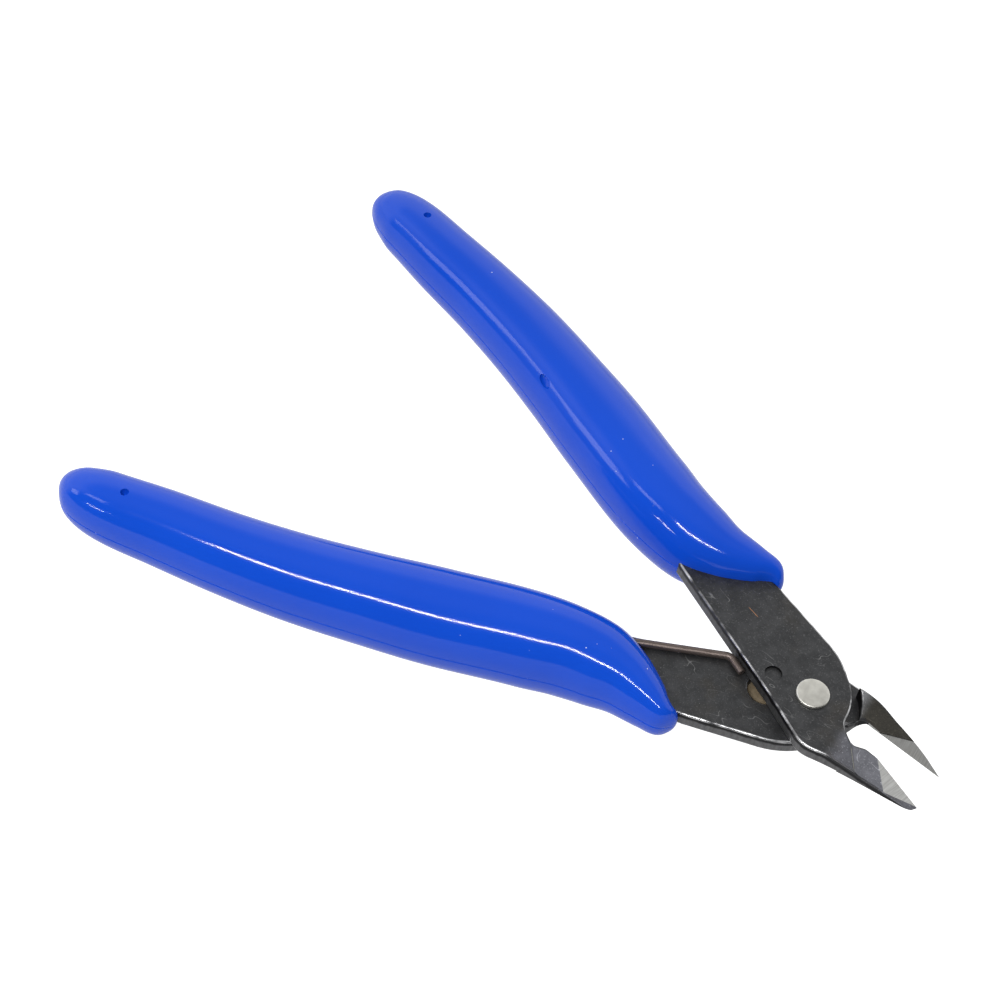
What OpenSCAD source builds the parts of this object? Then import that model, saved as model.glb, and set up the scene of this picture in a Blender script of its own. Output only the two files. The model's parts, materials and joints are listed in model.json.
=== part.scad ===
// Flush cutter: two stamped blade halves on a rivet, a bent wire return spring and two dipped grips.
// The origin is at the middle of the box round the open tool, midway between the two plates. +X runs
// to the jaws, +Y to the handle of the front half, +Z out through the rivet's head. Inside the
// modules everything is measured from the pivot axis, and at_pivot() moves it into place.

/* [Blades] */
// Thickness of each stamped plate
plate_t = 2.5; // [2.4:0.05:2.6]
// Running gap between the two plates
plate_gap = 0.05; // [0.04:0.01:0.08]
// Half width of the tang inside each grip
tang_half_w = 3.2; // [2.8:0.1:3.4]

/* [Jaws] */
// Angle that the jaws open from closed, in degrees
open_angle = 17.2; // [17:0.1:17.4]
// Direction of the rear jaw's cutting edge, in degrees from +X
rear_edge_angle = -5.2; // [-5.6:0.1:-5]
// Distance of both cutting edges from the pivot axis
cut_offset = 3.2; // [3.15:0.01:3.25]
// Distance from the pivot axis to the front jaw's tip
front_tip_radius = 20.5; // [20.2:0.1:20.6]
// Distance from the pivot axis to the rear jaw's tip
rear_tip_radius = 20.1; // [20:0.1:20.4]
// Radius about the pivot that the raised rear jaw keeps clear of the front plate
jaw_relief_r = 7.05; // [7:0.05:7.3]
// Slope of the front jaw's ground bevel, as a rise over its width
front_bevel = 0.25; // [0.24:0.01:0.28]
// Slope of the rear jaw's ground bevel, as a rise over its width
rear_bevel = 0.3; // [0.28:0.01:0.32]
// Height of the blunt land left along each cutting edge
edge_land = 0.05; // [0.04:0.01:0.06]
// Depth that the bevels are ground below the stamped jaws
ground_step = 0.08; // [0.06:0.01:0.1]

/* [Pivot] */
// Diameter of the rivet's shank
rivet_d = 3.2; // [3:0.1:3.4]
// Diameter of the rivet's head
rivet_head_d = 4.7; // [4.5:0.1:4.9]
// Height of the rivet's head
rivet_head_h = 0.5; // [0.4:0.05:0.6]
// Radial running clearance of the front plate on the shank
running_clearance = 0.04; // [0.02:0.01:0.08]

/* [Opening stop] */
// Place of the stop's dimple and boss on the front plate
stop_pos = [-6.04, -0.49];
// Diameter of the dimple
dimple_d = 2.5; // [2.4:0.1:2.6]
// Diameter of the boss behind the dimple
boss_d = 2.2; // [2:0.1:2.2]
// Depth of the dimple, and height of the boss
dimple_depth = 1.3; // [1.1:0.1:1.4]
// Diameter of the rear plate's hole that the boss moves in
stop_hole_d = 4.8; // [4.8:0.05:4.9]

/* [Spring] */
// Diameter of the spring wire
wire_d = 1.1; // [1:0.05:1.1]
// Length of the wire's tip beyond its elbow
wire_tip_len = 3; // [2.5:0.1:3.2]
// Clearance between the wire's tip and the front plate's edge
wire_gap = 0.1; // [0.1:0.01:0.15]

/* [Grips] */
// Squareness of a grip's section: 2 is an ellipse
grip_power = 2.2; // [2:0.1:2.6]
// Clearance around a tang in its grip
tang_clearance = 0.1; // [0.08:0.01:0.15]

/* [Hidden] */
$fn = 64;

EPS = 0.01;
BIG = 120;
front_edge_angle = rear_edge_angle - open_angle;
front_edge_u = sqrt(front_tip_radius * front_tip_radius - cut_offset * cut_offset);
rear_edge_u = sqrt(rear_tip_radius * rear_tip_radius - cut_offset * cut_offset);
half_gap = plate_gap / 2;
flush_z = half_gap;

// Upper grip from nose to end, seen from above: [x, y, half width, half height]
GRIP_KNOTS = [
    [-13, 13.48, 0.4, 1.3],
    [-13.3, 13.6, 0.85, 1.9],
    [-14.05, 14.04, 1.42, 2.9],
    [-17.14, 13.62, 2.85, 4.2],
    [-21.83, 12.6, 4.39, 5.4],
    [-26.48, 12.48, 5.68, 6.4],
    [-31.23, 13.44, 6.08, 6.9],
    [-36.89, 15.44, 6.54, 7],
    [-48.38, 20.35, 6.7, 6.9],
    [-58.19, 24.33, 6.33, 6.7],
    [-67.98, 27.96, 6.03, 6.4],
    [-78.1, 30.99, 5.63, 6.1],
    [-87.7, 33.35, 5.29, 5.8],
    [-96.9, 35.63, 4.8, 5.2],
    [-101, 36.2, 3.79, 4.3],
    [-102.9, 36.15, 2.6, 3.2],
    [-103.9, 36.05, 1.4, 1.8],
    [-104.35, 36, 0.3, 0.5]
];
KNOT_STEPS = 3;
RING_POINTS = 28;
TANG_FIRST_KNOT = 7;
TANG_LAST_KNOT = 11;
grip_mid_z = plate_t / 2 + half_gap;

// Plate: corner by the jaw, mouth of the grip, and the round shoulder's circle
plate_corner = [2.9, -7.45];
plate_mouth = [-25.9, 6.6];
shoulder_c = [-6.5, -2.5];
shoulder_r = 12.1;
shoulder_from = 42;
shoulder_to = 69.7;

// Wire spring: where its hooked end sits in the tang, and its elbow
wire_root = [-26, -8.25];
wire_z = wire_d / 2 + 0.06;
root_bend = 0.62;
elbow_bend = 1.2;
inner_dir = (plate_corner - plate_mouth) / norm(plate_corner - plate_mouth);
inner_out = [inner_dir[1], -inner_dir[0]];
elbow_along = 15.65;
wire_elbow = plate_mouth + inner_dir * elbow_along + inner_out * (wire_d / 2 + wire_gap);
spring_swing = 20;

function spline(a, b, c, d, t) =
    (2 * b + (c - a) * t + (2 * a - 5 * b + 4 * c - d) * t * t + (3 * b - a - 3 * c + d) * t * t * t) / 2;
function knot(i) = GRIP_KNOTS[max(0, min(i, len(GRIP_KNOTS) - 1))];
function grip_stations(first, last) = [
    for (i = [first : last - 1], s = [0 : KNOT_STEPS - 1])
        spline(knot(i - 1), knot(i), knot(i + 1), knot(i + 2), s / KNOT_STEPS),
    knot(last)
];
function plan(q) = [q[0], q[1]];
function side_dir(list, i) =
    let (a = plan(list[max(0, i - 1)]), b = plan(list[min(len(list) - 1, i + 1)]), d = (b - a) / norm(b - a))
    [d[1], -d[0]];
function super_cos(a) = sign(cos(a)) * pow(abs(cos(a)), 2 / grip_power);
function super_sin(a) = sign(sin(a)) * pow(abs(sin(a)), 2 / grip_power);
function ring(q, n, mid_z) = [
    for (k = [0 : RING_POINTS - 1])
        let (a = 360 * (k + 0.5) / RING_POINTS, w = q[2] * super_cos(a))
        [q[0] + n[0] * w, q[1] + n[1] * w, mid_z + q[3] * super_sin(a)]
];
function end_point(list, i) = list[max(0, min(i, len(list) - 1))];
function curve(list, steps) = [
    for (i = [0 : len(list) - 2], s = [0 : steps - 1])
        spline(end_point(list, i - 1), list[i], list[i + 1], end_point(list, i + 2), s / steps),
    list[len(list) - 1]
];
function arc(c, r, from, to, steps) = [
    for (i = [0 : steps])
        let (a = from + (to - from) * i / steps)
        c + r * [cos(a), sin(a)]
];
// Point on a cutting edge's line: u along the line, v across it away from the pivot
function on_edge(angle, u, v) = [
    u * cos(angle) - (cut_offset + v) * sin(angle),
    u * sin(angle) + (cut_offset + v) * cos(angle)
];

// The pivot's distance from the origin, which puts the origin in the middle of the open tool
function lowest_x(list) =
    min([for (i = [0 : len(list) - 1]) list[i][0] - abs(side_dir(list, i)[0]) * list[i][2]]);
pivot_x = -(lowest_x(grip_stations(0, len(GRIP_KNOTS) - 1)) + on_edge(rear_edge_angle, rear_edge_u, 0)[0]) / 2;

module at_pivot() {
    translate([pivot_x, 0, 0])
        children();
}

// Everything above the plane z = c + gu * x + gv * y
module above_plane(c, gu, gv) {
    translate([0, 0, c])
        rotate([0, 0, atan2(gv, gu)])
        rotate([0, -atan(norm([gu, gv])), 0])
        translate([-BIG / 2, -BIG / 2, 0])
        cube([BIG, BIG, BIG / 2]);
}

// Plan of a half's flat plate and tang, for the half whose handle is on the +Y side
module plate_plan() {
    stations = grip_stations(TANG_FIRST_KNOT, TANG_LAST_KNOT);
    n = len(stations);
    outer = [for (i = [n - 1 : -1 : 0]) plan(stations[i]) + side_dir(stations, i) * tang_half_w];
    inner = [for (i = [0 : n - 1]) plan(stations[i]) - side_dir(stations, i) * tang_half_w];
    polygon(concat(
        [[0.7, -6.68], [-0.8, -5.85], [-5, -3.6], plate_mouth, [-33.5, 10.4]],
        inner,
        outer,
        [[-31, 16.6], [-24, 14.3], [-17.5, 13.7], [-12.6, 12.5]],
        arc(shoulder_c, shoulder_r, shoulder_to, shoulder_from, 6),
        curve([[3.3, 4.9], [4.4, 3.48], [5.1, 2], [5.45, 0.8], [5.6, -0.3], [5.85, -1.1], [6.6, -2.05]], 3),
        [[6.8, -4.6], [5.6, -6.6], [3.4, -7.2], [1.2, -6.95]]
    ));
}

// Plan of the front jaw, from the plate's corner round the tip to the throat
module front_jaw_plan() {
    outer = [
        [1.2, -6.95],
        [1.9, -7.28],
        [2.6, -7.5],
        [3.4, -7.58],
        [4.3, -7.5],
        [6.5, -7.08],
        [10.7, -6.56],
        [16, -6.1],
        [18.4, -5.85],
        [19.4, -5.5]
    ];
    throat = [[11, -1.56], [10, -1.86], [9.2, -2.55], [8.3, -3.2], [7.4, -2.7], [6.6, -2.05]];
    polygon(concat(
        curve(outer, 4),
        [on_edge(front_edge_angle, front_edge_u, 0), on_edge(front_edge_angle, 11.6, 0)],
        curve(throat, 3),
        [[4, -4]]
    ));
}

// Plan of the raised rear jaw, from the heel round the tip to the throat
module rear_jaw_plan() {
    outer = [
        [3.1, 5.15],
        [5.1, 5.44],
        [7.9, 5.33],
        [10.6, 4.74],
        [13.3, 4.06],
        [14.9, 3.66],
        [17.1, 2.8]
    ];
    polygon(concat(
        curve(outer, 4),
        [on_edge(rear_edge_angle, rear_edge_u, 0), on_edge(rear_edge_angle, 7.9, 0)],
        [[7.4, 2.45], [6.9, 2.2], [6.6, 1.85], [6.37, 1.4], [6, 0.8]],
        [[4, 0.5]]
    ));
}

// Plan of the rear plate's heel under the raised jaw
module rear_heel_plan() {
    polygon([[1.5, 6.7], [2.9, 6.9], [4.3, 6.5], [6.1, 5.8], [7.9, 5.33], [6, 2], [3, 2]]);
}

// Everything above a jaw's bevel, which rises by slope from a land along the cutting edge.
// out is -1 for the front jaw, which lies on the pivot's side of its edge, and 1 for the rear one.
module above_bevel(angle, out, slope, land) {
    rotate([0, 0, angle])
        translate([0, cut_offset, 0])
        above_plane(flush_z + land, 0, out * slope);
}

// Everything on one side of an upright plane through the point p
module beyond(p, angle) {
    translate([p[0], p[1], -BIG / 2])
        rotate([0, 0, angle])
        translate([0, -BIG / 2, 0])
        cube([BIG, BIG, BIG]);
}

// The front jaw falls away from the plate over a diagonal bend, then towards its cutting edge
module front_top_cut() {
    above_plane(4.616, -0.2017, 0.1241);
    intersection() {
        above_plane(6.774, -0.586, -0.183);
        above_bevel(front_edge_angle, -1, front_bevel, edge_land + ground_step);
    }
    intersection() {
        beyond([11.85, -1.5], 36);
        above_bevel(front_edge_angle, -1, front_bevel, edge_land);
    }
}

// The rear jaw slopes from its back to the cutting edge
module rear_top_cut() {
    intersection() {
        above_plane(-0.106, -0.0925, 0.567);
        above_bevel(rear_edge_angle, 1, rear_bevel, edge_land + ground_step);
    }
    intersection() {
        beyond([10.8, 2.55], -72);
        above_bevel(rear_edge_angle, 1, rear_bevel, edge_land);
    }
}

// The rear jaw's underside rises from the plate's back to the flush face
module rear_under_cut(bottom) {
    intersection() {
        translate([5.32, 5, 0])
            rotate([0, 0, 10])
            mirror([0, 0, 1])
            above_plane(-bottom, -1.2, 0);
        translate([0, -BIG / 2, flush_z - BIG])
            cube(BIG);
    }
}

module front_blade() {
    top = half_gap + plate_t;
    color([0.24, 0.24, 0.25])
        at_pivot()
        difference() {
            union() {
                translate([0, 0, half_gap])
                    linear_extrude(plate_t)
                    union() {
                        plate_plan();
                        front_jaw_plan();
                    }
                translate([stop_pos[0], stop_pos[1], half_gap - dimple_depth])
                    cylinder(h = dimple_depth + EPS, d = boss_d);
            }
            front_top_cut();
            translate([0, 0, -BIG / 4])
                cylinder(h = BIG / 2, d = rivet_d + 2 * running_clearance);
            translate([stop_pos[0], stop_pos[1], top - dimple_depth])
                cylinder(h = dimple_depth + 1, d = dimple_d);
        }
}

module rear_blade() {
    bottom = -half_gap - plate_t;
    color([0.22, 0.22, 0.23])
        at_pivot()
        difference() {
            union() {
                translate([0, 0, bottom])
                    linear_extrude(plate_t)
                    union() {
                        mirror([0, 1, 0]) plate_plan();
                        rear_heel_plan();
                        rear_jaw_plan();
                    }
                difference() {
                    translate([0, 0, bottom + plate_t / 2])
                        linear_extrude(plate_t * 1.6)
                        rear_jaw_plan();
                    rear_top_cut();
                    translate([0, 0, -half_gap])
                        cylinder(h = 2 * plate_t, r = jaw_relief_r);
                }
            }
            rear_under_cut(bottom);
            translate([1, 7, bottom - 1])
                cube(plate_t + 2);
            translate([0, 0, -BIG / 4])
                cylinder(h = BIG / 2, d = rivet_d + 0.02);
            translate([0, 0, bottom - EPS])
                cylinder(h = 0.85 + EPS, d1 = rivet_head_d + 0.06, d2 = rivet_d + 0.02);
            translate([-6.1, -1.72, -BIG / 4])
                cylinder(h = BIG / 2, d = stop_hole_d);
            translate([wire_root[0], wire_root[1], -BIG / 4])
                cylinder(h = BIG / 2, d = wire_d + 0.1);
        }
}

module pivot_rivet() {
    bottom = -half_gap - plate_t;
    top = half_gap + plate_t;
    chamfer = 0.2;
    color([0.66, 0.65, 0.63])
        at_pivot()
        rotate_extrude()
        polygon([
            [0, bottom + 0.04],
            [rivet_head_d / 2 - 0.04, bottom + 0.04],
            [rivet_d / 2, bottom + 0.85],
            [rivet_d / 2, top + 0.04],
            [rivet_head_d / 2, top + 0.04],
            [rivet_head_d / 2, top + 0.04 + rivet_head_h - chamfer],
            [rivet_head_d / 2 - chamfer, top + 0.04 + rivet_head_h],
            [0, top + 0.04 + rivet_head_h]
        ]);
}

// Bend of the wire about an axis along Z, over the given angle up to the +Y side
module wire_bend(radius, angle) {
    rotate([0, 0, 90 - angle])
        rotate_extrude(angle = angle)
        translate([radius, 0])
        circle(d = wire_d);
}

module return_spring() {
    hook_len = wire_z - root_bend + half_gap + plate_t - 0.2;
    leg = wire_elbow - wire_root;
    leg_angle = atan2(leg[1], leg[0]);
    turn = leg_angle - atan2(inner_dir[1], inner_dir[0]);
    tangent = elbow_bend * tan(turn / 2);
    leg_len = norm(leg) - root_bend - tangent;
    color([0.36, 0.32, 0.3])
        at_pivot()
        translate([wire_root[0], wire_root[1], wire_z - root_bend])
        rotate([0, 0, leg_angle]) {
            translate([0, 0, -hook_len])
                cylinder(h = hook_len, d = wire_d);
            translate([root_bend, 0, 0])
                rotate([90, 0, 0])
                rotate([0, 0, 90])
                wire_bend(root_bend, 90);
            translate([root_bend, 0, root_bend]) {
                rotate([0, 90, 0])
                    cylinder(h = leg_len, d = wire_d);
                translate([leg_len, -elbow_bend, 0]) {
                    wire_bend(elbow_bend, turn);
                    rotate([0, 0, -turn])
                        translate([0, elbow_bend, 0])
                        rotate([0, 90, 0])
                        cylinder(h = wire_tip_len - tangent, d = wire_d);
                }
            }
        }
}

// Grip lofted along its centre line, with its middle at height mid_z
module grip_body(mid_z) {
    stations = grip_stations(0, len(GRIP_KNOTS) - 1);
    n = len(stations);
    points = [for (i = [0 : n - 1]) each ring(stations[i], side_dir(stations, i), mid_z)];
    sides = [
        for (i = [0 : n - 2], k = [0 : RING_POINTS - 1])
            let (k2 = (k + 1) % RING_POINTS, a = i * RING_POINTS, b = (i + 1) * RING_POINTS)
            [a + k, b + k, b + k2, a + k2]
    ];
    first = [for (k = [0 : RING_POINTS - 1]) k];
    last = [for (k = [RING_POINTS - 1 : -1 : 0]) (n - 1) * RING_POINTS + k];
    polyhedron(points, concat(sides, [first, last]), convexity = 6);
}

// Slot that the plate and tang of the +Y half fill
module tang_slot(mid_z) {
    translate([0, 0, mid_z - plate_t / 2 - tang_clearance])
        linear_extrude(plate_t + 2 * tang_clearance)
        offset(delta = tang_clearance)
        plate_plan();
}

module upper_grip() {
    color([0.1, 0.28, 0.86])
        at_pivot()
        difference() {
            grip_body(grip_mid_z);
            tang_slot(grip_mid_z);
        }
}

// Room for the spring's root and for its swing as it is squeezed
module spring_pocket() {
    d = wire_elbow - wire_root;
    angle = atan2(d[1], d[0]);
    translate([wire_root[0], wire_root[1], -half_gap - 0.1])
        linear_extrude(wire_d + 0.5) {
            circle(r = wire_d / 2 + 0.25);
            for (turn = [0, -spring_swing / 2, -spring_swing])
                rotate([0, 0, angle + turn])
                translate([0, -wire_d / 2 - 0.15])
                square([8, wire_d + 0.3]);
        }
    translate([wire_root[0], wire_root[1], -half_gap - plate_t - 0.3])
        cylinder(h = plate_t + 1, r = wire_d / 2 + 0.15);
}

module lower_grip() {
    color([0.1, 0.28, 0.86])
        at_pivot()
        difference() {
            mirror([0, 1, 0]) grip_body(-grip_mid_z);
            mirror([0, 1, 0]) tang_slot(-grip_mid_z);
            spring_pocket();
        }
}

front_blade();
rear_blade();
pivot_rivet();
return_spring();
upper_grip();
lower_grip();
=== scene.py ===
"""Flush cutter: the looks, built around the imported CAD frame.

Sizes in this file are in millimetres from the pivot axis, midway between the plates. MM turns
them into metres, and PIVOT_X is where the frame has the pivot.
"""

import json
import math
from contextlib import contextmanager

import bmesh
import bpy
import numpy as np
from mathutils import Matrix, Vector

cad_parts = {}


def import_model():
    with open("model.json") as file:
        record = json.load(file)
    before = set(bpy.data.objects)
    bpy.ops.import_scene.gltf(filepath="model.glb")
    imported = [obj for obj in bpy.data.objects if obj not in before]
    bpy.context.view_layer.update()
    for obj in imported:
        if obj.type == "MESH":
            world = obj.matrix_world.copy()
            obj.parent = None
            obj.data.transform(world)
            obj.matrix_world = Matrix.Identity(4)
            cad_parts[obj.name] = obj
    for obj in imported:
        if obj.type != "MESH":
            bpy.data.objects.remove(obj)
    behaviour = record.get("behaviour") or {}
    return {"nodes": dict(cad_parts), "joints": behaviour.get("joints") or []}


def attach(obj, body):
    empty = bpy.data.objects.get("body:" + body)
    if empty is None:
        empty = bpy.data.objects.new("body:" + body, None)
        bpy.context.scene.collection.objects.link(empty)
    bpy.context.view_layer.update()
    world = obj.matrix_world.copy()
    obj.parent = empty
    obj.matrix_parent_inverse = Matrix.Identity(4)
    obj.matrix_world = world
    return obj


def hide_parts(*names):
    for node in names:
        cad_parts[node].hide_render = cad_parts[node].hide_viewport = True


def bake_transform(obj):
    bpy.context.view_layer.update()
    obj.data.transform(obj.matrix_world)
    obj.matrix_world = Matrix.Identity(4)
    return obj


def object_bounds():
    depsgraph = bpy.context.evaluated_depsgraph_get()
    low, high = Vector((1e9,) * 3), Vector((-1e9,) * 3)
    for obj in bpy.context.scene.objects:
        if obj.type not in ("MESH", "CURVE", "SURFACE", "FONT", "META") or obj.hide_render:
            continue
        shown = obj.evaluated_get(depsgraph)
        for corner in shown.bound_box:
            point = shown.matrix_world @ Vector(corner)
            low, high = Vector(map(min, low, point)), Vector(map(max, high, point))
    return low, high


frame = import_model()
cad_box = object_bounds()

MM = 0.001
WHITE = (1, 1, 1, 1)
PIVOT_X = frame["joints"][0]["pos_m"][0] / MM

# ---------------------------------------------------------------- sizes shared with the CAD part
PLATE_T = 2.5
HALF_GAP = 0.025
PLATE_TOP = HALF_GAP + PLATE_T
GRIP_MID_Z = PLATE_T / 2 + HALF_GAP
GRIP_POWER = 2.2
# Upper grip from nose to end: x, y, half width, half height
GRIP_KNOTS = np.array([
    [-12.90, 13.45, 0.00, 0.0],
    [-13.30, 13.60, 0.85, 1.9],
    [-14.05, 14.04, 1.42, 2.9],
    [-17.14, 13.62, 2.85, 4.2],
    [-21.83, 12.60, 4.39, 5.4],
    [-26.48, 12.48, 5.68, 6.4],
    [-31.23, 13.44, 6.08, 6.9],
    [-36.89, 15.44, 6.54, 7.0],
    [-48.38, 20.35, 6.70, 6.9],
    [-58.19, 24.33, 6.33, 6.7],
    [-67.98, 27.96, 6.03, 6.4],
    [-78.10, 30.99, 5.63, 6.1],
    [-87.70, 33.35, 5.29, 5.8],
    [-96.90, 35.63, 4.80, 5.2],
    [-101.0, 36.20, 3.79, 4.3],
    [-103.4, 36.10, 2.10, 2.6],
    [-104.4, 36.00, 0.00, 0.0],
])
RIVET_HEAD_R = 2.35
RIVET_SHANK_R = 1.6
RIVET_HEAD_H = 0.5
WIRE_R = 0.55
WIRE_ROOT = np.array([-26.0, -8.25])
WIRE_ELBOW = np.array([-12.57, -0.63])
WIRE_ROOT_BEND = 0.62
WIRE_ELBOW_BEND = 1.2
WIRE_TIP_DIRECTION = -26.0
WIRE_TIP_LENGTH = 3.0
WIRE_Z = 0.61
WIRE_FOOT_Z = -2.3
FLUSH_Z = HALF_GAP
# Jaws: edge angle, side of the edge, bevel slope, point and direction where the grinding starts
FRONT_JAW = (-22.4, -1, 0.25, (11.85, -1.5), 36)
REAR_JAW = (-5.2, 1, 0.3, (10.8, 2.55), -72)


# ---------------------------------------------------------------- mesh helpers
def at(point):
    """Place in the frame, in metres, of a point given in millimetres from the pivot."""
    return Vector((point[0] + PIVOT_X, point[1], point[2])) * MM


def new_object(name, vertices, faces):
    """Smooth-shaded mesh object from points in millimetres from the pivot."""
    mesh = bpy.data.meshes.new(name)
    mesh.from_pydata([tuple(at(v)) for v in vertices], [], [tuple(f) for f in faces])
    mesh.update()
    mesh.shade_smooth()
    obj = bpy.data.objects.new(name, mesh)
    bpy.context.scene.collection.objects.link(obj)
    return obj


@contextmanager
def editing(obj):
    """The mesh of obj as a BMesh, written back at the end."""
    bm = bmesh.new()
    bm.from_mesh(obj.data)
    yield bm
    bm.to_mesh(obj.data)
    bm.free()


def sharpen(obj, angle):
    """Smooth shading that keeps edges sharper than angle, in degrees."""
    with editing(obj) as bm:
        for f in bm.faces:
            f.smooth = True
        for e in bm.edges:
            e.smooth = len(e.link_faces) == 2 and e.calc_face_angle(0) < math.radians(angle)


def bake_modifiers(obj):
    """Applies every modifier, so that the mesh is final."""
    depsgraph = bpy.context.evaluated_depsgraph_get()
    mesh = bpy.data.meshes.new_from_object(obj.evaluated_get(depsgraph))
    obj.modifiers.clear()
    obj.data = mesh


def carve(obj, tool):
    """Cuts tool out of obj and removes the tool."""
    cut = obj.modifiers.new("cut", "BOOLEAN")
    cut.operation = "DIFFERENCE"
    cut.solver = "EXACT"
    cut.object = tool
    bake_modifiers(obj)
    bpy.data.objects.remove(tool)


def capped_rings(name, start, rings, end):
    """Closed surface through equal rings of points, drawn together to a point at both ends."""
    per = len(rings[0])
    points = [start, *(p for ring in rings for p in ring), end]
    last = len(points) - 1
    faces = []
    for k in range(per):
        k2 = (k + 1) % per
        faces.append((0, 1 + k2, 1 + k))
        for a in range(1, last - per, per):
            faces.append((a + k, a + k2, a + per + k2, a + per + k))
        faces.append((last - per + k, last - per + k2, last))
    obj = new_object(name, points, faces)
    with editing(obj) as bm:
        bmesh.ops.recalc_face_normals(bm, faces=bm.faces)
    return obj


def lathe(name, profile, steps=96):
    """Surface of revolution about Z from (radius, z) points, closed at both ends on the axis."""
    angles = [2 * math.pi * k / steps for k in range(steps)]
    rings = [[(r * math.cos(a), r * math.sin(a), z) for a in angles] for r, z in profile if r > 1e-6]
    return capped_rings(name, (0, 0, profile[0][1]), rings, (0, 0, profile[-1][1]))


def arc(centre, radius, start, end, steps):
    """(x, y) points on an arc, angles in degrees."""
    angles = np.radians(np.linspace(start, end, steps + 1))
    return [(centre[0] + radius * math.cos(a), centre[1] + radius * math.sin(a)) for a in angles]


# ---------------------------------------------------------------- node helpers
class Nodes:
    """Short way to make a material's nodes."""

    def __init__(self, name):
        self.material = bpy.data.materials.new(name)
        self.material.use_nodes = True
        self.tree = self.material.node_tree
        self.bsdf = self.tree.nodes["Principled BSDF"]
        self.coords = self.add("ShaderNodeTexCoord").outputs["Object"]

    def add(self, kind, inputs=None, **settings):
        node = self.tree.nodes.new(kind)
        for key, value in settings.items():
            setattr(node, key, value)
        for key, value in (inputs or {}).items():
            self.put(node.inputs[key], value)
        return node

    def put(self, socket, value):
        if isinstance(value, bpy.types.NodeSocket):
            self.tree.links.new(value, socket)
        else:
            socket.default_value = value

    def set(self, **values):
        """Inputs of the shader, with _ for a space."""
        for key, value in values.items():
            self.put(self.bsdf.inputs[key.replace("_", " ")], value)

    def math(self, operation, a, b=0.0):
        return self.add("ShaderNodeMath", {0: a, 1: b}, operation=operation).outputs[0]

    def plus(self, a, b):
        return self.math("ADD", a, b)

    def minus(self, a, b):
        return self.math("SUBTRACT", a, b)

    def times(self, a, b):
        return self.math("MULTIPLY", a, b)

    def split(self, vector):
        """X, Y and Z of a vector."""
        return self.add("ShaderNodeSeparateXYZ", {0: vector}).outputs

    def vector(self, operation, a, b):
        return self.add("ShaderNodeVectorMath", {0: a, 1: b}, operation=operation).outputs[0]

    def rotated(self, vector, angle):
        """The vector turned about Z, angle in degrees."""
        settings = {"Vector": vector, "Angle": math.radians(angle)}
        return self.add("ShaderNodeVectorRotate", settings, rotation_type="Z_AXIS").outputs[0]

    def scaled(self, scale):
        """Object coordinates in millimetres, times scale."""
        return self.vector("MULTIPLY", self.coords, tuple(s / MM for s in scale))

    def noise(self, size, detail=3.0, stretch=(1, 1, 1), roughness=0.5):
        """Noise whose features are about size millimetres."""
        return self.add(
            "ShaderNodeTexNoise",
            {
                "Vector": self.scaled(tuple(s / size for s in stretch)),
                "Scale": 1.0,
                "Detail": detail,
                "Roughness": roughness,
            },
        ).outputs["Fac"]

    def ramp(self, value, low, high):
        """0 below low, 1 above high, smooth between."""
        node = self.add(
            "ShaderNodeMapRange", {"From Min": low, "From Max": high}, interpolation_type="SMOOTHSTEP"
        )
        self.put(node.inputs["Value"], value)
        return node.outputs[0]

    def mix(self, factor, a, b):
        node = self.add("ShaderNodeMix", data_type="RGBA")
        self.put(node.inputs["Factor"], factor)
        self.put(node.inputs[6], a)
        self.put(node.inputs[7], b)
        return node.outputs[2]

    def dots(self, spacing, outer, inner):
        """1 at the middles of cells about spacing millimetres wide, 0 away from them."""
        cells = {"Vector": self.scaled((1 / spacing,) * 3), "Scale": 1.0}
        distance = self.add("ShaderNodeTexVoronoi", cells).outputs["Distance"]
        return self.ramp(distance, outer, inner)

    def bump(self, height, distance):
        settings = {"Height": height, "Distance": distance * MM, "Strength": 1.0}
        return self.add("ShaderNodeBump", settings).outputs[0]


def finish(obj, body, slot, materials, *nodes):
    """Gives a piece its materials and body, and puts it in place of CAD nodes. slot is not used."""
    for material in materials:
        obj.data.materials.append(material)
    if body:
        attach(obj, body)
    if nodes:
        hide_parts(*nodes)


# ---------------------------------------------------------------- materials
VINYL_TONES = (0.0037, 0.058, 0.51, 1), (0.0046, 0.069, 0.57, 1)
DUST = (0.6, 0.66, 0.8, 1)
OXIDE_TONES = (0.050, 0.051, 0.053, 1), (0.078, 0.079, 0.082, 1)
OXIDE_BROWN = (0.072, 0.064, 0.053, 1)
OXIDE_GRAIN = (0.21, 0.21, 0.21, 1)
SPECK = (0.42, 0.42, 0.42, 1)
HAIRLINE = (0.33, 0.33, 0.33, 1)
SHEARED_TONES = (0.05, 0.05, 0.05, 1), (0.19, 0.19, 0.195, 1)
# Near-black painted shade along the top of the shear-cut side walls
SHEARED_PAINTED_SHADE = (0.008, 0.008, 0.009, 1)
WORN_TONES = (0.06, 0.06, 0.063, 1), (0.60, 0.60, 0.61, 1)
# Tan tones of the lumpy plug in the stop hole
PLUG_TONES = (0.10, 0.075, 0.045, 1), (0.30, 0.24, 0.16, 1)
GROUND_TONES = (0.31, 0.31, 0.30, 1), (0.43, 0.43, 0.42, 1)
GROUND_STAIN = (0.30, 0.28, 0.25, 1)
RIVET_TONES = (0.42, 0.41, 0.37, 1), (0.84, 0.83, 0.77, 1)
WIRE_TONES = (0.10, 0.078, 0.068, 1), (0.21, 0.17, 0.155, 1)
# Painted light ahead of the pivot: a painted reflection lightens the front jaw's oxide, a painted shade
# darkens the rear jaw's.
FRONT_JAW_PAINTED_REFLECTION = (2.4, 2.4, 2.6)
REAR_JAW_PAINTED_SHADE = (0.24, 0.22, 0.18)
GRINDING_LEAN = 12


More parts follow.
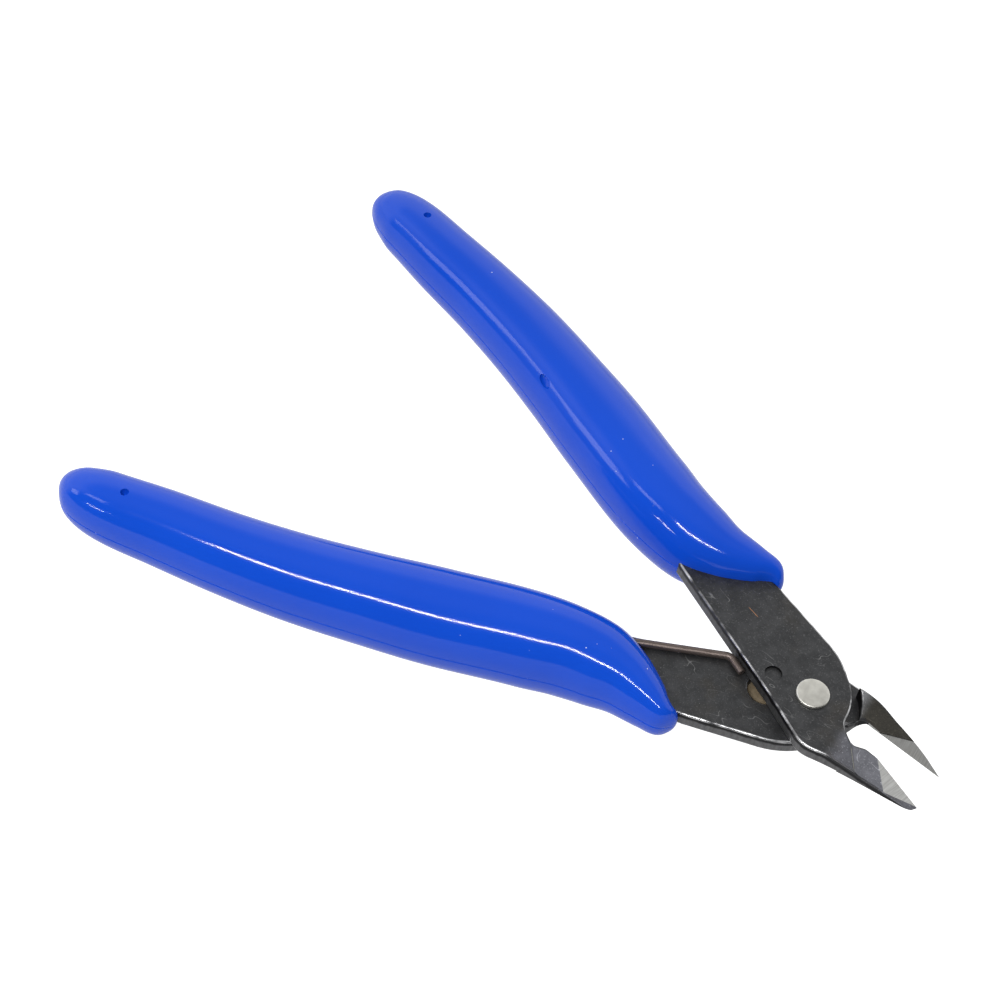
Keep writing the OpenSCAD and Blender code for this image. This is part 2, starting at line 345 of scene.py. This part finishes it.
def vinyl():
    n = Nodes("blue_vinyl")
    colour = n.mix(n.noise(14, 2), *VINYL_TONES)
    dust = n.times(n.dots(2.5, 0.05, 0.02), n.ramp(n.noise(9, 2), 0.5, 0.6))
    colour = n.mix(dust, colour, DUST)
    fine = n.noise(0.5, 2, stretch=(0.25, 1, 1))
    n.set(
        Base_Color=colour,
        Roughness=n.plus(n.plus(0.07, n.times(n.noise(5, 2), 0.06)), dust),
        Specular_IOR_Level=0.3,
        Normal=n.bump(n.plus(n.noise(9, 1), n.times(fine, 0.02)), 0.012),
    )
    return n.material


def along_x(n, start, end):
    """0 before start and 1 after end, in millimetres in front of the pivot."""
    return n.ramp(n.split(n.scaled((1, 1, 1)))["X"], PIVOT_X + start, PIVOT_X + end)


def scratch(n, centre, half_length, half_width, angle):
    """Mask of one straight scratch on the upper face."""
    moved = n.vector("SUBTRACT", n.scaled((1, 1, 0)), (PIVOT_X + centre[0], centre[1], 0))
    xyz = n.split(n.rotated(moved, -angle))
    length = n.ramp(n.math("ABSOLUTE", xyz["X"]), half_length, half_length * 0.6)
    width = n.ramp(n.math("ABSOLUTE", xyz["Y"]), half_width, half_width * 0.4)
    return n.times(length, width)


def mottled_black(n):
    """Colour of worn black oxide, and the mottling that its roughness follows."""
    mottle = n.noise(2.2, 7, roughness=0.7)
    colour = n.mix(n.ramp(mottle, 0.3, 0.7), *OXIDE_TONES)
    brown = n.ramp(n.noise(5.5, 4), 0.5, 0.7)
    colour = n.mix(n.times(brown, 0.4), colour, OXIDE_BROWN)
    grain = n.ramp(n.noise(0.22, 3), 0.56, 0.72)
    colour = n.mix(n.times(grain, 0.35), colour, OXIDE_GRAIN)
    specks = n.times(n.dots(1 / 1.5, 0.12, 0.05), n.ramp(n.noise(4, 2), 0.46, 0.58))
    colour = n.mix(n.times(specks, 0.4), colour, SPECK)
    hair = n.math("ABSOLUTE", n.minus(n.noise(3.2, 1, stretch=(0.6, 1.2, 1)), 0.5))
    patch = n.ramp(n.noise(3.0, 2, stretch=(1, 0.7, 1)), 0.5, 0.62)
    hair = n.times(n.ramp(hair, 0.006, 0.001), patch)
    return n.mix(n.times(hair, 0.5), colour, HAIRLINE), mottle


def black_oxide(name, base_z, jaw_painted_light, marks=()):
    """Oxide on the faces, shear-cut steel on the sides of a plate whose bottom is at base_z; painted shade
    tops the sides and painted light tints the jaw.
    """
    n = Nodes(name)
    colour, mottle = mottled_black(n)
    # Painted light: ahead of the pivot the oxide is lightened on the front jaw and darkened on the rear
    # jaw.
    painted_light_colour = n.vector("MULTIPLY", colour, jaw_painted_light)
    colour = n.mix(along_x(n, 5.5, 7.5), colour, painted_light_colour)
    for mark_colour, *place in marks:
        colour = n.mix(scratch(n, *place), colour, mark_colour)
    up = n.split(n.add("ShaderNodeNewGeometry").outputs["Normal"])["Z"]
    side = n.ramp(n.math("ABSOLUTE", up), 0.6, 0.3)
    # Painted shade: a near-black band along the top of each side wall, wider ahead of the pivot.
    xyz = n.split(n.scaled((1, 1, 1)))
    height = n.minus(xyz["Z"], base_z)
    height = n.plus(height, n.times(n.noise(1.1, 4), 0.7))
    ahead = n.math("MAXIMUM", n.minus(xyz["X"], PIVOT_X + 6), 0)
    height = n.plus(height, n.times(ahead, 0.2))
    rough = n.noise(0.4, 4, stretch=(1, 1, 0.3))
    sheared_and_painted_shade = n.mix(rough, *SHEARED_TONES)
    sheared_and_painted_shade = n.mix(n.ramp(height, 2.15, 1.75), SHEARED_PAINTED_SHADE, sheared_and_painted_shade)
    n.set(
        Base_Color=n.mix(side, colour, sheared_and_painted_shade),
        Metallic=0.8,
        Specular_IOR_Level=0.2,
        Roughness=n.plus(0.34, n.times(mottle, 0.14)),
        Normal=n.bump(n.plus(n.noise(0.22, 3), n.times(mottle, 1.6)), 0.02),
    )
    return n.material


def worn_edge():
    n = Nodes("worn_edge")
    wear_and_painted_shade = n.ramp(n.noise(1.6, 4, stretch=(0.6, 0.6, 1)), 0.36, 0.64)
    # Painted shade: the bright rubbed steel fades out 4.5 to 7 mm ahead of the pivot, so the jaws' rounded
    # edges stay dark.
    wear_and_painted_shade = n.times(wear_and_painted_shade, n.minus(1.0, along_x(n, 4.5, 7.0)))
    n.set(
        Base_Color=n.mix(wear_and_painted_shade, *WORN_TONES),
        Metallic=1.0,
        Roughness=n.minus(0.42, n.times(wear_and_painted_shade, 0.14)),
        Normal=n.bump(n.noise(0.25, 3), 0.01),
    )
    return n.material


def tan_plug():
    n = Nodes("tan_plug")
    lumps = n.noise(0.9, 4)
    n.set(
        Base_Color=n.mix(lumps, *PLUG_TONES),
        Roughness=n.plus(0.25, n.times(lumps, 0.3)),
        Normal=n.bump(lumps, 0.15),
    )
    return n.material


def ground_steel(name, angle):
    """Bright steel with fine grinding lines across an edge at this angle."""
    n = Nodes(name)
    along = n.rotated(n.scaled((1, 1, 1)), -angle - GRINDING_LEAN)
    settings = {"Vector": n.vector("MULTIPLY", along, (6, 0.25, 0.25)), "Scale": 1.0, "Detail": 3.0}
    lines = n.add("ShaderNodeTexNoise", settings).outputs["Fac"]
    colour = n.mix(n.ramp(lines, 0.3, 0.7), *GROUND_TONES)
    colour = n.mix(n.times(n.ramp(n.noise(2, 3), 0.5, 0.8), 0.3), colour, GROUND_STAIN)
    n.set(Base_Color=colour, Metallic=1.0, Roughness=0.36, Normal=n.bump(lines, 0.012))
    return n.material


def rivet_steel():
    n = Nodes("rivet_steel")
    centred = n.vector("SUBTRACT", n.scaled((1, 1, 0)), (PIVOT_X, 0, 0))
    radius = n.add("ShaderNodeVectorMath", {0: centred}, operation="LENGTH").outputs["Value"]
    ring = n.add("ShaderNodeCombineXYZ", {0: n.times(radius, 7.0)}).outputs[0]
    rings = n.add("ShaderNodeTexNoise", {"Vector": ring, "Scale": 1.0}).outputs["Fac"]
    cloud = n.noise(1.2, 4)
    n.set(
        Base_Color=n.mix(cloud, *RIVET_TONES),
        Metallic=1.0,
        Roughness=n.plus(0.36, n.times(cloud, 0.15)),
        Normal=n.bump(n.plus(n.times(rings, 0.7), cloud), 0.012),
    )
    return n.material


def wire_steel():
    n = Nodes("wire_steel")
    drawn = n.noise(0.3, 3, stretch=(0.15, 0.15, 1))
    n.set(
        Base_Color=n.mix(drawn, *WIRE_TONES),
        Metallic=0.8,
        Roughness=0.42,
        Normal=n.bump(n.noise(0.2, 3), 0.01),
    )
    return n.material


# ---------------------------------------------------------------- grips
GRIP_STATIONS = 190
SMOOTHING = 3.0
GROOVE_HALF = 0.13
GROOVE_DEPTH = 0.16
SIDE_LEVELS = np.array([-0.5, -0.3, -0.13, -0.07, 0.0, 0.07, 0.13, 0.3, 0.5])
DRAIN_DOT = (-93.4, 35.1, 5.62)
DRAIN_DOT_RADII = (0.62, 0.62, 1.3)
SCAR = (-59.5, 19.6, 4.55)
SCAR_RADII = (1.5, 0.75, 0.6)


def monotone_slopes(x, y):
    """Tangents of a curve through (x, y) that never overshoots."""
    h = np.diff(x)
    d = np.diff(y) / h
    m = np.zeros(len(x))
    m[0], m[-1] = d[0], d[-1]
    for i in range(1, len(x) - 1):
        if d[i - 1] * d[i] > 0:
            w1, w2 = 2 * h[i] + h[i - 1], h[i] + 2 * h[i - 1]
            m[i] = (w1 + w2) / (w1 / d[i - 1] + w2 / d[i])
    return m


def curve_through(x, y, m, places):
    """Cubic through (x, y) with tangents m, read at the given places."""
    i = np.clip(np.searchsorted(x, places, side="right") - 1, 0, len(x) - 2)
    h = x[i + 1] - x[i]
    t = (places - x[i]) / h
    return (
        (1 + 2 * t) * (1 - t) ** 2 * y[i]
        + t * (1 - t) ** 2 * h * m[i]
        + t * t * (3 - 2 * t) * y[i + 1]
        + t * t * (t - 1) * h * m[i + 1]
    )


def grip_stations(count):
    """Centres, side directions, half widths and half heights along the upper grip."""
    step = np.linalg.norm(np.diff(GRIP_KNOTS[:, :2], axis=0), axis=1)
    s = np.concatenate([[0], np.cumsum(step)])
    place = s[-1] * (0.5 - 0.5 * np.cos(np.pi * np.linspace(0, 1, count)))
    middle, squares = GRIP_KNOTS[:, :2].T, GRIP_KNOTS[:, 2:].T ** 2
    centre = np.stack([curve_through(s, q, np.gradient(q, s), place) for q in middle], axis=1)
    size = np.stack([curve_through(s, q, monotone_slopes(s, q), place) for q in squares], axis=1)
    size = np.sqrt(np.maximum(size, 0))
    ahead = [np.interp(place + SMOOTHING, place, centre[:, k]) for k in (0, 1)]
    behind = [np.interp(place - SMOOTHING, place, centre[:, k]) for k in (0, 1)]
    along = np.stack(ahead, axis=1) - np.stack(behind, axis=1)
    along /= np.linalg.norm(along, axis=1)[:, None]
    return centre, np.stack([along[:, 1], -along[:, 0]], axis=1), size


def grip_section(width, height):
    """(across, up) points of a closed section, with the parting line's groove on both sides."""
    levels = SIDE_LEVELS * min(1, height)
    reach = np.power(1 - np.power(np.abs(levels) / max(height, 1e-6), GRIP_POWER), 1 / GRIP_POWER)
    groove = GROOVE_DEPTH * np.maximum(0, 1 - np.abs(SIDE_LEVELS) / GROOVE_HALF) * min(1, width / 3)
    side = np.stack([width * reach - groove, levels], axis=1)
    angles = np.radians(np.linspace(6, 174, 49))
    top = np.stack(
        [
            width * np.sign(np.cos(angles)) * np.abs(np.cos(angles)) ** (2 / GRIP_POWER),
            height * np.sin(angles) ** (2 / GRIP_POWER),
        ],
        axis=1,
    )
    return np.concatenate([side, top, side[::-1] * [-1, 1], top[::-1] * [1, -1]])


def grip(name, flip):
    """One grip. flip is -1 for the lower grip, which mirrors the upper one in Y and Z."""
    centre, side, size = grip_stations(GRIP_STATIONS)
    mirror = np.array([1, flip, flip])
    rings = []
    for c, n, (w, h) in zip(centre[1:-1], side[1:-1], size[1:-1]):
        q = grip_section(w, h)
        rings.append(np.column_stack([c + q[:, :1] * n, GRIP_MID_Z + q[:, 1]]) * mirror)
    nose, end = (np.array([*centre[i], GRIP_MID_Z]) * mirror for i in (0, -1))
    return capped_rings(name, nose, rings, end)


def dent(obj, centre, radii, turn=0.0):
    """Presses an ellipsoid-shaped mark into a grip."""
    rows = [(math.cos(math.radians(a)), math.sin(math.radians(a))) for a in range(-90, 91, 12)]
    tool = lathe("dent", [(r, z) for r, z in rows], 36)
    for v in tool.data.vertices:
        p = from_pivot(v.co)
        q = turned((1, 0, 0), turn) * p.x * radii[0] + turned((0, 1, 0), turn) * p.y * radii[1]
        v.co = at(Vector(centre) + q + Vector((0, 0, p.z * radii[2])))
    carve(obj, tool)


def mark_grips(upper, lower):
    """The drain dot near each grip's end and a scar on the upper grip."""
    x, y, z = DRAIN_DOT
    dent(upper, (x, y, GRIP_MID_Z + z), DRAIN_DOT_RADII)
    dent(lower, (x, -y, -GRIP_MID_Z + z), DRAIN_DOT_RADII)
    x, y, z = SCAR
    dent(upper, (x, y, GRIP_MID_Z + z), SCAR_RADII, -40)
    for obj in (upper, lower):
        sharpen(obj, 28)


# ---------------------------------------------------------------- blades
EDGE_ROUND = 0.26
STOP_DIMPLE = Vector((-6.04, -0.49))
DIMPLE_FLOOR = PLATE_TOP - 0.45
STOP_HOLE = (-6.1, -1.72)
STOP_HOLE_R = 2.4
FLUSH_START = ((10, -4), -30)
OXIDE, GROUND, WORN = 0, 1, 2


def turned(vector, degrees):
    v = Vector(vector).normalized()
    v.rotate(Matrix.Rotation(math.radians(degrees), 3, "Z"))
    return v


def from_pivot(point):
    return point / MM - Vector((PIVOT_X, 0, 0))


def is_ground(face, jaw):
    """True for the bevel, the land and the flush face of a jaw."""
    angle, out, slope = jaw[:3]
    place = from_pivot(face.calc_center_median())
    if place.x < 7:
        return False
    beyond = ground_distance(place, jaw) > -0.02
    bevel = face.normal.dot(turned((0, -out * slope, 1), angle)) > 0.9995
    land = face.normal.dot(turned((0, -out, 0), angle)) > 0.999 and place.x > 11.5
    flush = face.normal.z < -0.999 and in_flush_plane(place) and place.x > 10
    return (bevel and beyond) or land or flush


def ground_distance(place, jaw):
    """How far a point lies beyond the line where a jaw's grinding starts."""
    start, facing = jaw[3:]
    return (place - Vector((*start, place.z))).dot(turned((1, 0, 0), facing))


def worn_amount(edge, jaw):
    """How much an edge of a stamped half is rounded, from 0 to 1."""
    if len(edge.link_faces) != 2 or not edge.is_convex or edge.calc_face_angle(0) < math.radians(50):
        return 0.0
    if GROUND in (f.material_index for f in edge.link_faces):
        return 0.0
    a, b = (from_pivot(v.co) for v in edge.verts)
    if max(abs(f.normal.z) for f in edge.link_faces) < 0.7:
        return 0.0
    if max(a.x, b.x) > 8 and max(ground_distance(a, jaw), ground_distance(b, jaw)) > -0.7:
        return 0.0
    if min(tall(f) for f in edge.link_faces if abs(f.normal.z) < 0.7) < 0.6:
        return 0.0
    if max(a.xy.length, b.xy.length) < 3 or min((q.xy - STOP_DIMPLE).length for q in (a, b)) < 1.5:
        return 0.0
    return 0.35 if edge.calc_length() < 0.14 * MM else 1.0


def tall(face):
    """Height of a face in millimetres."""
    heights = [v.co.z / MM for v in face.verts]
    return max(heights) - min(heights)


def raise_dimple(bm):
    """Raises the floor of the stop dimple, which is shallower than its boss is high."""
    for v in bm.verts:
        place = from_pivot(v.co)
        if (place.xy - STOP_DIMPLE).length < 1.4 and HALF_GAP + 0.1 < place.z < DIMPLE_FLOOR:
            v.co.z = DIMPLE_FLOOR * MM


def start_flush_faces(bm):
    """Splits the faces in the flush plane where their grinding starts."""
    flat = [f for f in bm.faces if f.normal.z < -0.999 and in_flush_plane(f.calc_center_median() / MM)]
    cut = list(dict.fromkeys(x for f in flat for x in (f, *f.edges, *f.verts)))
    start, facing = FLUSH_START
    bmesh.ops.bisect_plane(bm, geom=cut, plane_co=at((*start, 0)), plane_no=turned((1, 0, 0), facing))


def in_flush_plane(place):
    return abs(place.z - FLUSH_Z) < 0.05


def blade(name, node, body, materials, jaw):
    """A stamped half: the CAD solid with rounded, worn edges and ground bevels."""
    obj = bpy.data.objects.new(name, frame["nodes"][node].data.copy())
    bpy.context.scene.collection.objects.link(obj)
    obj.data.materials.clear()
    with editing(obj) as bm:
        bmesh.ops.remove_doubles(bm, verts=bm.verts, dist=1e-6)
        bmesh.ops.dissolve_limit(bm, angle_limit=math.radians(0.5), verts=bm.verts, edges=bm.edges)
        raise_dimple(bm)
        start_flush_faces(bm)
        for f in bm.faces:
            f.normal_update()
            f.material_index = GROUND if is_ground(f, jaw) else OXIDE
        weight = bm.edges.layers.float.new("bevel_weight_edge")
        for e in bm.edges:
            e[weight] = worn_amount(e, jaw)
    for material in materials:
        obj.data.materials.append(material)
    bevel = obj.modifiers.new("rounding", "BEVEL")
    bevel.limit_method = "WEIGHT"
    bevel.width = EDGE_ROUND * MM
    bevel.segments = 3
    bevel.use_clamp_overlap = False
    bevel.material = WORN
    bake_modifiers(obj)
    mark_creases(obj, 9)
    finish(obj, body, "black_steel", [], node)


def mark_creases(obj, angle):
    """Smooth shading inside the rounded edges, flat faces elsewhere."""
    with editing(obj) as bm:
        bmesh.ops.remove_doubles(bm, verts=bm.verts, dist=1e-7)
        for f in bm.faces:
            f.smooth = True
        for e in bm.edges:
            worn = [f.material_index == WORN for f in e.link_faces]
            if len(worn) != 2:
                e.smooth = False
            elif all(worn):
                e.smooth = e.calc_face_angle(0) < math.radians(50)
            else:
                e.smooth = not any(worn) and e.calc_face_angle(0) < math.radians(angle)


# ---------------------------------------------------------------- rivet and wire
def rivet():
    top = PLATE_TOP + 0.04
    head = top + RIVET_HEAD_H
    bottom = -PLATE_TOP + 0.04
    edge = [(RIVET_HEAD_R - 0.2 + r, head - 0.2 + z) for r, z in arc((0, 0), 0.2, 90, 0, 6)]
    profile = [(0, head + 0.02), (1.0, head + 0.015), (1.7, head + 0.005)] + edge
    profile += [(RIVET_HEAD_R, top + 0.06), (RIVET_HEAD_R - 0.06, top), (RIVET_SHANK_R, top)]
    profile += [(RIVET_SHANK_R, bottom + 0.85), (RIVET_HEAD_R - 0.04, bottom + 0.05)]
    profile += [(RIVET_HEAD_R - 0.1, bottom), (0, bottom)]
    return lathe("rivet", profile)


def hole_plug():
    """A tan, lumpy plug that fills the bottom of the stop hole and creeps up its wall."""
    rim = STOP_HOLE_R - 0.04
    profile = [(0, -1.6), (1.2, -1.7), (2.1, -1.62), (rim, -1.5), (rim, -2.2), (0, -2.3)]
    obj = lathe("stop_hole_plug", profile)
    for v in obj.data.vertices:
        v.co += Vector((*STOP_HOLE, 0)) * MM
    return obj


def wire():
    """The return spring: hooked down into the tang, a leg, an elbow and a tip."""
    leg = WIRE_ELBOW - WIRE_ROOT
    leg_angle = math.degrees(math.atan2(leg[1], leg[0]))
    leg_dir = leg / np.linalg.norm(leg)
    tip_angle = math.radians(WIRE_TIP_DIRECTION)
    tip_dir = np.array([math.cos(tip_angle), math.sin(tip_angle)])
    bend, elbow = WIRE_ROOT_BEND, WIRE_ELBOW_BEND
    tangent = elbow * math.tan(math.radians(leg_angle - WIRE_TIP_DIRECTION) / 2)
    path = [(*WIRE_ROOT, WIRE_FOOT_Z), (*WIRE_ROOT, -1.0)]
    path += [
        (*(WIRE_ROOT + leg_dir * (bend + a)), WIRE_Z - bend + b) for a, b in arc((0, 0), bend, 180, 90, 8)
    ]
    end = WIRE_ELBOW - leg_dir * tangent
    path += [(*(WIRE_ROOT + (end - WIRE_ROOT) * t), WIRE_Z) for t in np.linspace(0.08, 0.95, 24)]
    centre = end + elbow * np.array([leg_dir[1], -leg_dir[0]])
    path += [(*p, WIRE_Z) for p in arc(centre, elbow, leg_angle + 90, WIRE_TIP_DIRECTION + 90, 12)]
    path.append((*(WIRE_ELBOW + tip_dir * WIRE_TIP_LENGTH), WIRE_Z))
    return tube("return_wire", np.array(path), WIRE_R)


def tube(name, path, radius, sides=24):
    """Round wire along a path, with slightly broken ends."""
    along = np.gradient(path, axis=0)
    along /= np.linalg.norm(along, axis=1)[:, None]
    across = np.cross(along[0], [0.31, 0.95, 0.0])
    rings = []
    for p, t in zip(path, along):
        across = across - t * (across @ t)
        across /= np.linalg.norm(across)
        rings.append((p, t, across.copy(), radius))
    lead = 0.06
    first, last = rings[0], rings[-1]
    rings[0] = (first[0] + first[1] * lead, *first[1:])
    rings[-1] = (last[0] - last[1] * lead, *last[1:])
    rings = [(*first[:3], radius - lead), *rings, (*last[:3], radius - lead)]
    points, faces = [], []
    for p, t, a, r in rings:
        b = np.cross(t, a)
        for k in range(sides):
            q = 2 * math.pi * k / sides
            points.append(p + r * (a * math.cos(q) + b * math.sin(q)))
    for i in range(len(rings) - 1):
        for k in range(sides):
            k2 = (k + 1) % sides
            faces.append((i * sides + k, i * sides + k2, (i + 1) * sides + k2, (i + 1) * sides + k))
    faces.append(tuple(range(sides))[::-1])
    faces.append(tuple((len(rings) - 1) * sides + k for k in range(sides)))
    return new_object(name, points, faces)


# ---------------------------------------------------------------- stage
CAMERA_AZIMUTH = 28.76
CAMERA_ELEVATION = 51.84
CAMERA_ROLL = 9.19
CAMERA_DISTANCE = 299.3
CAMERA_AIM = (-53.64, 1.10, 0.0)
CAMERA_LENS = 73.83
COVE = 1.15
COVE_TOP = 0.2
CEILING = 0.3
NEAR_SIDE = 0.1
LAMP_AIM = (-50, 0, 0)
FLOOR_SEEN = 0.9
FLOOR_BOUNCE = 0.35


def camera_axes():
    """Right, up and backward directions of the camera."""
    az, el, roll = (math.radians(a) for a in (CAMERA_AZIMUTH, CAMERA_ELEVATION, CAMERA_ROLL))
    right = Vector((math.cos(az), math.sin(az), 0))
    back = Vector((math.sin(az) * math.cos(el), -math.cos(az) * math.cos(el), math.sin(el)))
    up = back.cross(right)
    return right * math.cos(roll) + up * math.sin(roll), up * math.cos(roll) - right * math.sin(roll), back


def look(obj, right, up, back, place):
    m = Matrix((right, up, back)).transposed().to_4x4()
    m.translation = place
    obj.matrix_world = m


def stage():
    scene = bpy.context.scene
    scene.view_settings.view_transform = "Standard"
    data = bpy.data.cameras.new("camera")
    data.lens = CAMERA_LENS
    data.sensor_width = 36
    data.clip_start = 0.01
    camera = bpy.data.objects.new("camera", data)
    scene.collection.objects.link(camera)
    right, up, back = camera_axes()
    look(camera, right, up, back, at(Vector(CAMERA_AIM) + back * CAMERA_DISTANCE))
    scene.camera = camera

    floor_z = cad_box[0].z / MM - 0.02
    size = 3000
    floor = new_object(
        "floor",
        [(-size, -size, floor_z), (size, -size, floor_z), (size, size, floor_z), (-size, size, floor_z)],
        [(0, 1, 2, 3)],
    )
    n = Nodes("floor")
    seen = n.add("ShaderNodeLightPath").outputs["Is Camera Ray"]
    glow = n.plus(FLOOR_BOUNCE, n.times(seen, FLOOR_SEEN - FLOOR_BOUNCE))
    n.set(Base_Color=(0.5, 0.5, 0.5, 1), Roughness=0.9, Emission_Color=WHITE, Emission_Strength=glow)
    floor.data.materials.append(n.material)
    world()
    lamps()


def world():
    """A pale cove on the far side, a dim ceiling and a dark near side."""
    w = bpy.data.worlds.new("studio")
    bpy.context.scene.world = w
    w.use_nodes = True
    nodes, links = w.node_tree.nodes, w.node_tree.links

    def ramp(value, start, end, low, high):
        node = nodes.new("ShaderNodeMapRange")
        node.interpolation_type = "SMOOTHSTEP"
        for key, number in zip(("From Min", "From Max", "To Min", "To Max"), (start, end, low, high)):
            node.inputs[key].default_value = number
        links.new(value, node.inputs["Value"])
        return node.outputs[0]

    def combine(operation, a, b):
        node = nodes.new("ShaderNodeMath")
        node.operation = operation
        links.new(a, node.inputs[0])
        links.new(b, node.inputs[1])
        return node.outputs[0]

    direction = nodes.new("ShaderNodeTexCoord").outputs["Generated"]
    far = nodes.new("ShaderNodeVectorMath")
    far.operation = "DOT_PRODUCT"
    az = math.radians(CAMERA_AZIMUTH)
    far.inputs[1].default_value = (-math.sin(az), math.cos(az), 0)
    links.new(direction, far.inputs[0])
    height = nodes.new("ShaderNodeSeparateXYZ")
    links.new(direction, height.inputs[0])
    across = ramp(far.outputs["Value"], -0.25, 0.15, 0, 1)
    cove = combine("MULTIPLY", across, ramp(height.outputs["Z"], 0.62, 0.84, COVE, COVE_TOP))
    ceiling = ramp(height.outputs["Z"], 0.6, 0.95, NEAR_SIDE, CEILING)
    nodes["Background"].inputs["Color"].default_value = WHITE
    links.new(combine("ADD", cove, ceiling), nodes["Background"].inputs["Strength"])


def area(name, place, aim, width, height, radiance, turn=0.0):
    """Rectangular lamp at place, facing aim. Radiance is what a mirror would show."""
    data = bpy.data.lights.new(name, "AREA")
    data.shape = "RECTANGLE"
    data.size, data.size_y = width * MM, height * MM
    data.energy = radiance * math.pi * width * height * MM * MM
    lamp = bpy.data.objects.new(name, data)
    bpy.context.scene.collection.objects.link(lamp)
    place, aim = at(place), at(aim)
    back = (place - aim).normalized()
    side = Vector((math.cos(math.radians(turn)), math.sin(math.radians(turn)), 0))
    side = (side - back * side.dot(back)).normalized()
    look(lamp, side, back.cross(side), back, place)


def lamps():
    """Two tubes side by side, two soft boxes and a low tube.

    Each row holds the name, the place, and area's width, height, radiance and turn.
    """
    for name, place, *shape in (
        ("strip_a", (0, -312, 455), 390, 9, 110),
        ("strip_b", (0, -334, 446), 390, 9, 110),
        ("left_high", (-440, -370, 520), 160, 90, 4),
        ("left_low", (-580, -372, 262), 150, 130, 3.5, 55),
        ("nose_strip", (-330, -588, 262), 150, 12, 50),
    ):
        area(name, place, LAMP_AIM, *shape)


# ---------------------------------------------------------------- build
vinyl_blue = vinyl()
scratches = [
    ((0.55, 0.27, 0.13, 1), (-13.6, 6.5), 1.15, 0.055, -17.5),
    ((0.36, 0.35, 0.29, 1), (9.4, -5.0), 1.9, 0.045, -49),
]
front_steel = [
    black_oxide("front_oxide_painted_light", HALF_GAP, FRONT_JAW_PAINTED_REFLECTION, scratches),
    ground_steel("front_ground", FRONT_JAW[0]),
    worn_edge(),
]
rear_steel = [
    black_oxide("rear_oxide_painted_light", -PLATE_TOP, REAR_JAW_PAINTED_SHADE),
    ground_steel("rear_ground", REAR_JAW[0]),
    front_steel[2],
]

upper_sleeve = grip("upper_grip_sleeve", 1)
lower_sleeve = grip("lower_grip_sleeve", -1)
mark_grips(upper_sleeve, lower_sleeve)
finish(upper_sleeve, "front_half", "blue_vinyl", [vinyl_blue], "upper_grip")
finish(lower_sleeve, "rear_half", "blue_vinyl", [vinyl_blue], "lower_grip")
blade("front_blade_finish", "front_blade", "front_half", front_steel, FRONT_JAW)
blade("rear_blade_finish", "rear_blade", "rear_half", rear_steel, REAR_JAW)

pivot = rivet()
finish(pivot, "rear_half", "rivet_steel", [rivet_steel()], "pivot_rivet")
sharpen(pivot, 35)

plug = hole_plug()
finish(plug, "rear_half", "black_steel", [tan_plug()])
sharpen(plug, 40)

spring = wire()
sharpen(spring, 35)
finish(spring, None, "spring_wire", [wire_steel()])
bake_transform(spring)
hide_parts("return_spring")

stage()
